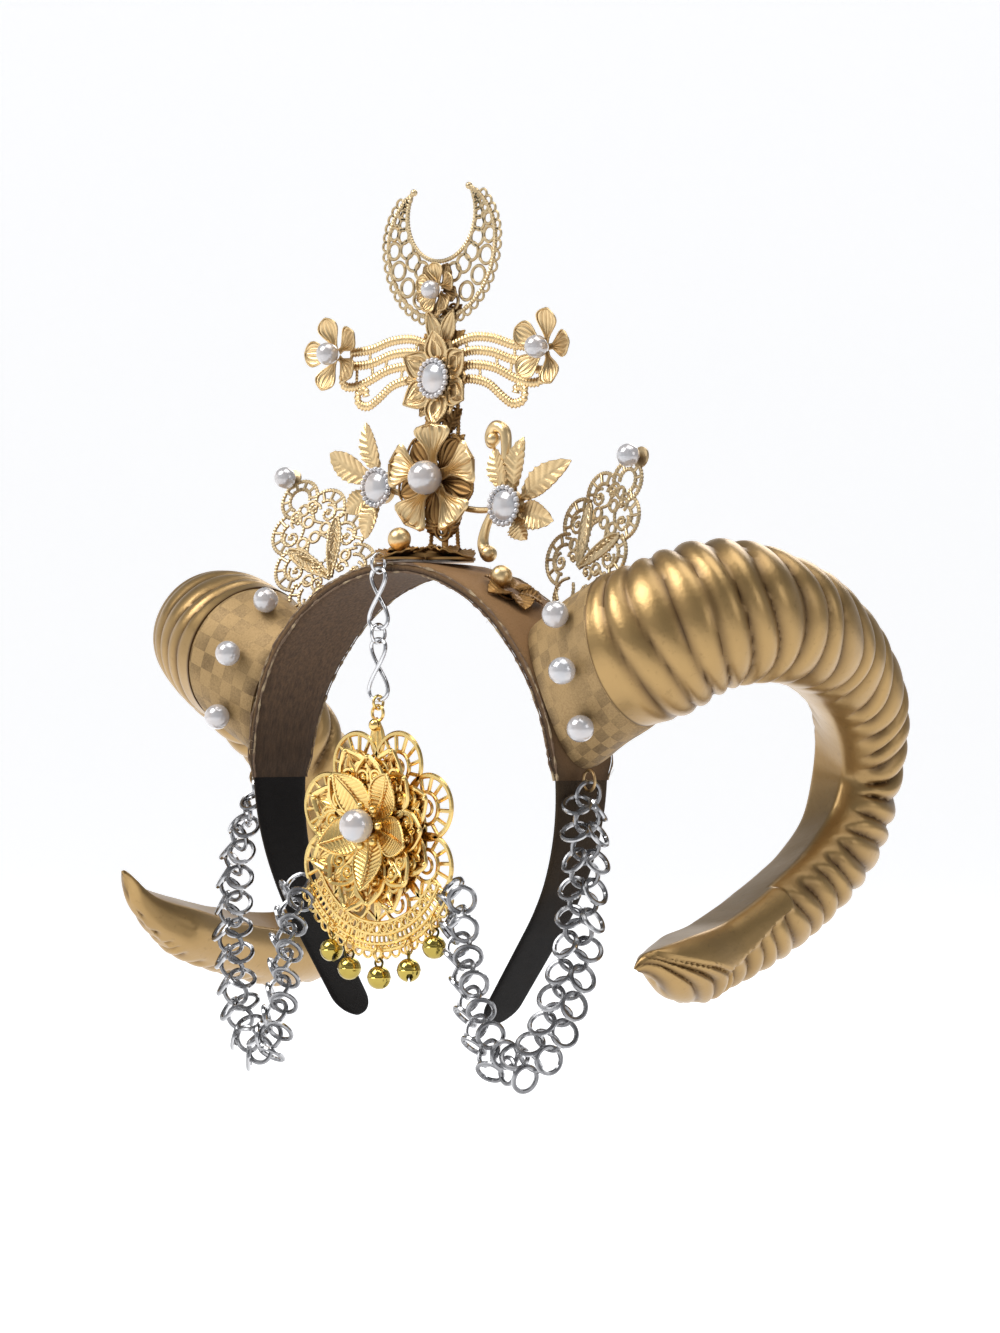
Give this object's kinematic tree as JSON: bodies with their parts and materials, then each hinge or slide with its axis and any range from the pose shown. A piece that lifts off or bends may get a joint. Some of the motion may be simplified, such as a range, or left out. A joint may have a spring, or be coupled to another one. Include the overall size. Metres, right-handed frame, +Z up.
{
  "type": "ram horn headband",
  "caption": "Costume headband with curled ribbed ram horns, a filigree and pearl crown ornament, a forehead medallion with bells and chain-mail strips.",
  "frame": {"origin": "middle of the headband's inner face at its top, where it sits on the crown of the head", "axes": "+Z up, -Y the way the wearer looks, +X to the wearer's left"},
  "size_m": [0.2929, 0.1937, 0.3092],
  "materials": {
    "velvet": "matt black velvet",
    "brown_cloth": "worn bronze-brown cloth",
    "cuff_cloth": "bronze checker cloth",
    "horn_gold": "satin gold paint, brown in the grooves",
    "pearl": "pearl lacquer",
    "steel": "bright steel wire",
    "pale_gold": "champagne gold filigree",
    "bright_gold": "bright yellow gold filigree",
    "bell_brass": "polished greenish brass"
  },
  "bodies": {
    "root": {"headband_core": "velvet", "band_cover": "brown_cloth", "cuff_left": "cuff_cloth", "cuff_right": "cuff_cloth", "horn_left": "horn_gold", "horn_right": "horn_gold", "cuff_pearl_left_1": "pearl", "cuff_pearl_left_2": "pearl", "cuff_pearl_left_3": "pearl", "cuff_pearl_right_1": "pearl", "cuff_pearl_right_2": "pearl", "cuff_pearl_right_3": "pearl", "crescent_pearl": "pearl", "center_cabochon": "pearl", "big_pearl": "pearl", "medallion_pearl": "pearl", "wing_pearl_left": "pearl", "wing_pearl_right": "pearl", "sprig_cabochon_left": "pearl", "sprig_cabochon_right": "pearl", "side_pearl_left": "pearl", "side_pearl_right": "pearl", "mail_chain_left": "steel", "mail_chain_right": "steel", "pendant_ring_top": "steel", "pendant_ring_mid": "steel", "pendant_link_upper": "steel", "pendant_link_lower": "steel", "chain_ring_left": "pale_gold", "chain_ring_right": "pale_gold", "wing_flower_left": "pale_gold", "wing_flower_right": "pale_gold", "sprig_left": "pale_gold", "sprig_right": "pale_gold", "side_panel_left": "pale_gold", "side_panel_right": "pale_gold", "panel_base_left": "pale_gold", "panel_base_right": "pale_gold", "base_plate": "pale_gold", "column_strip": "pale_gold", "crescent": "pale_gold", "crescent_flower": "pale_gold", "wing_bar": "pale_gold", "center_flower": "pale_gold", "big_flower": "pale_gold", "pendant_ring_low": "bright_gold", "medallion_back": "bright_gold", "medallion_mid": "bright_gold", "medallion_flower": "bright_gold", "bell_1": "bell_brass", "bell_2": "bell_brass", "bell_3": "bell_brass", "bell_4": "bell_brass", "bell_5": "bell_brass", "bell_ring_1": "bell_brass", "bell_ring_2": "bell_brass", "bell_ring_3": "bell_brass", "bell_ring_4": "bell_brass", "bell_ring_5": "bell_brass"}
  },
  "joints": []
}
